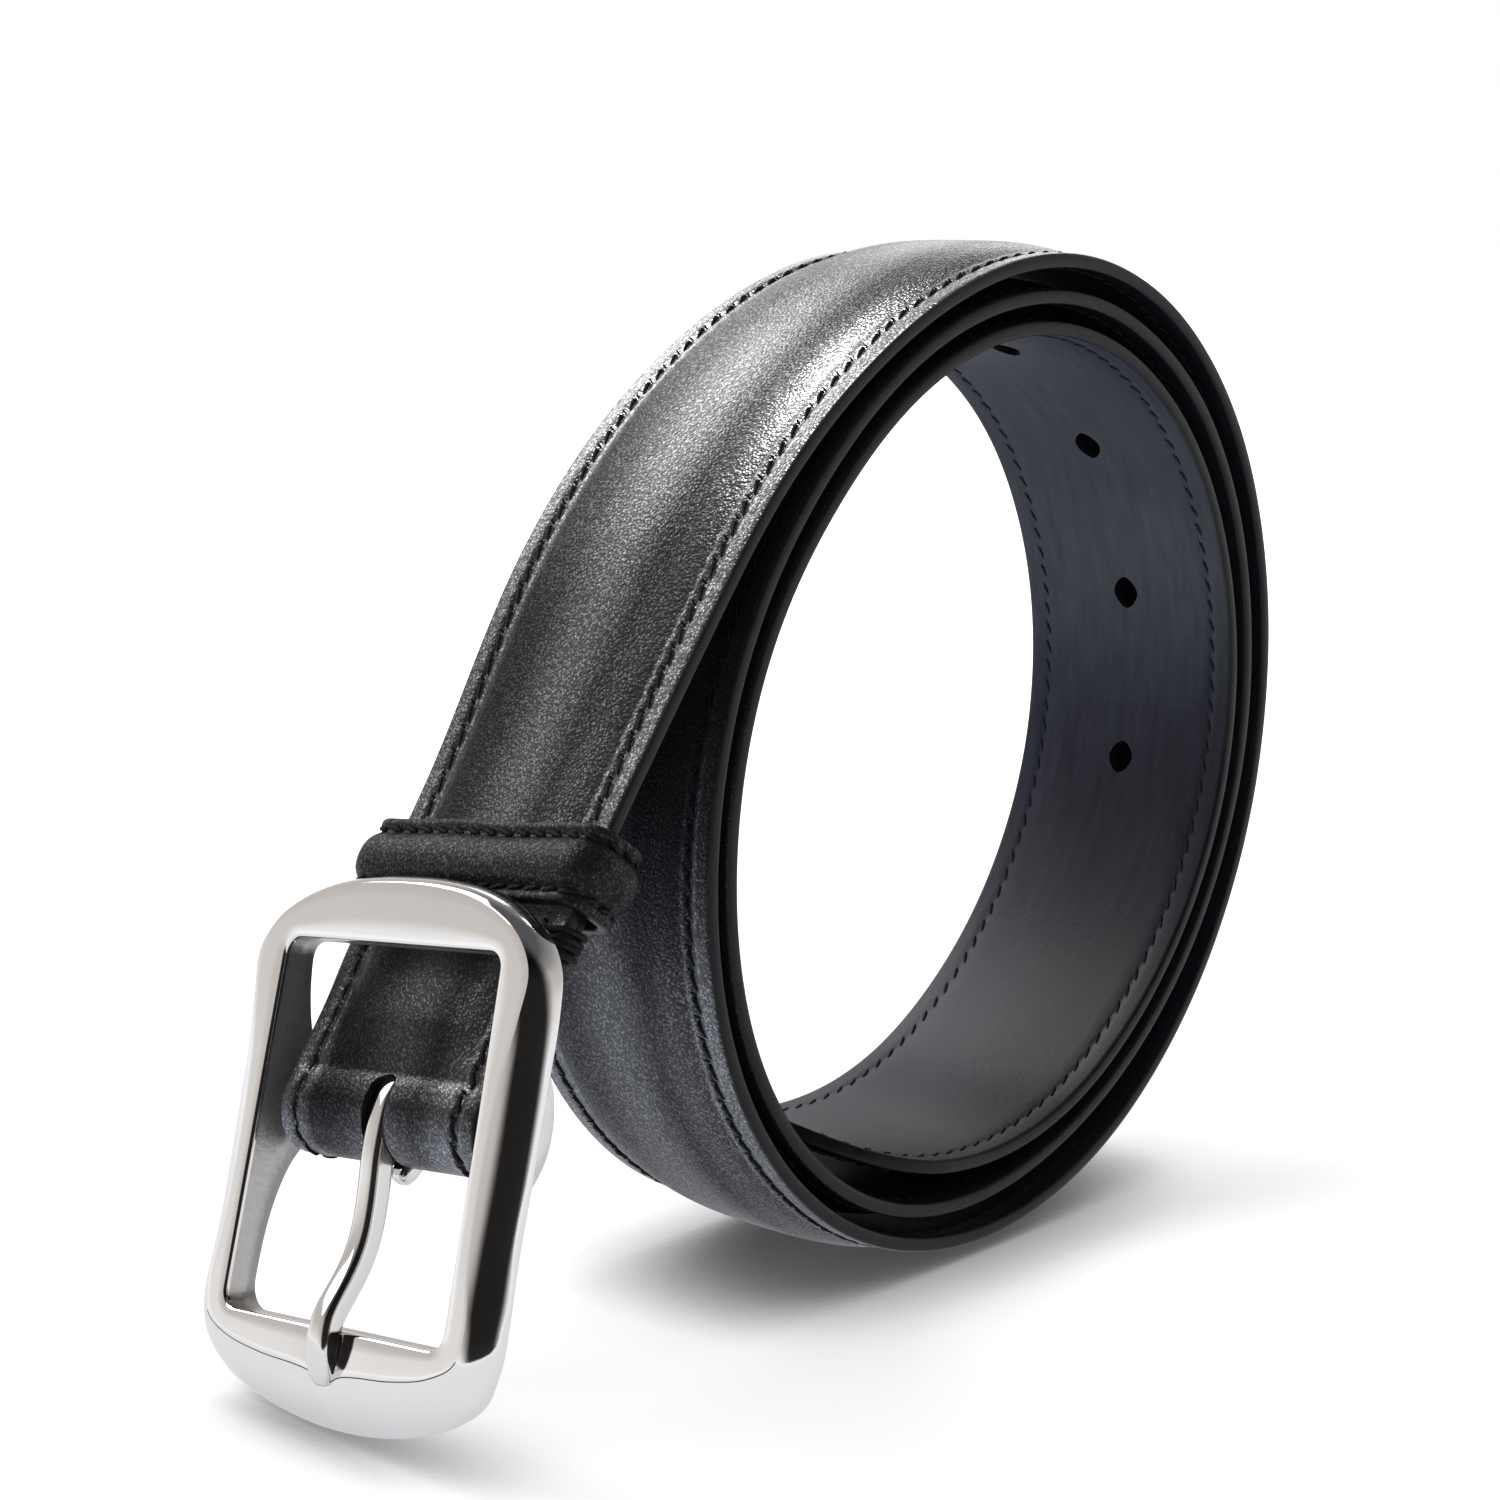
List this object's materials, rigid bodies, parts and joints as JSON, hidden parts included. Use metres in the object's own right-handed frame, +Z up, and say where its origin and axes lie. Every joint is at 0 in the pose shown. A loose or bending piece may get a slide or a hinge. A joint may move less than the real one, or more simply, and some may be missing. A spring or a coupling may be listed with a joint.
{
  "type": "leather belt",
  "caption": "Coiled dress belt in padded, lined and edge-stitched leather, with a plain square prong buckle hinged on a cross bar, a stitched keeper loop and pointed punched tip.",
  "frame": {"origin": "bottom centre of the bounding box of the belt as it stands: coil and buckle foot on the ground plane z = 0, strap's centre line at y = 0", "axes": "+Z up, +Y along the coil's axis, across the strap, +X from the buckle towards the coil; the buckle is on the -X side"},
  "size_m": [0.1676, 0.0532, 0.1302],
  "materials": {
    "buckle_metal": "polished nickel plate",
    "bar_metal": "plated steel",
    "prong_metal": "polished nickel plate",
    "thread": "waxed black thread",
    "whipping_thread": "waxed black thread",
    "lining_leather": "smooth black lining leather",
    "filler_board": "bonded leather board, hidden",
    "keeper_leather": "black pebbled leather",
    "face_leather": "black pebbled leather, semi-gloss, painted edge"
  },
  "bodies": {
    "coil": {"coil_face_leather": "face_leather", "coil_filler": "filler_board", "coil_lining": "lining_leather", "coil_stitches_far": "thread", "coil_stitches_near": "thread"},
    "tip_end": {"tip_face_leather": "face_leather", "tip_filler": "filler_board", "tip_lining": "lining_leather", "tip_stitches_far": "thread", "tip_stitches_near": "thread"},
    "buckle_end": {"edge_whipping": "whipping_thread", "end_face_leather": "face_leather", "end_filler": "filler_board", "end_lining": "lining_leather", "end_stitches_far": "thread", "end_stitches_near": "thread", "keeper_filler": "filler_board", "keeper_leather": "keeper_leather", "keeper_stitches_lower": "thread", "keeper_stitches_upper": "thread"},
    "buckle": {"buckle_frame": "buckle_metal", "buckle_bar": "bar_metal"},
    "prong": {"buckle_prong": "prong_metal"}
  },
  "joints": [
    {"name": "buckle_end_flex", "type": "hinge", "parent": "coil", "child": "buckle_end", "pos_m": [-0.0281, 0, 0.09666], "axis": [0, 1, 0], "range_deg": [-2, 30], "stiffness_Nm_per_rad": 0.05},
    {"name": "buckle_swivel", "type": "hinge", "parent": "buckle_end", "child": "buckle", "pos_m": [-0.06643, 0, 0.03355], "axis": [-0.022, -0.9931, 0.115], "range_deg": [0, 60]},
    {"name": "prong_swivel", "type": "hinge", "parent": "buckle", "child": "prong", "pos_m": [-0.06643, 0, 0.03355], "axis": [0.022, 0.9931, -0.115], "range_deg": [0, 90]},
    {"name": "tip_flex", "type": "hinge", "parent": "coil", "child": "tip_end", "pos_m": [0.05586, 0, 0.0284], "axis": [0, 1, 0], "range_deg": [0, 25], "stiffness_Nm_per_rad": 0.05}
  ]
}
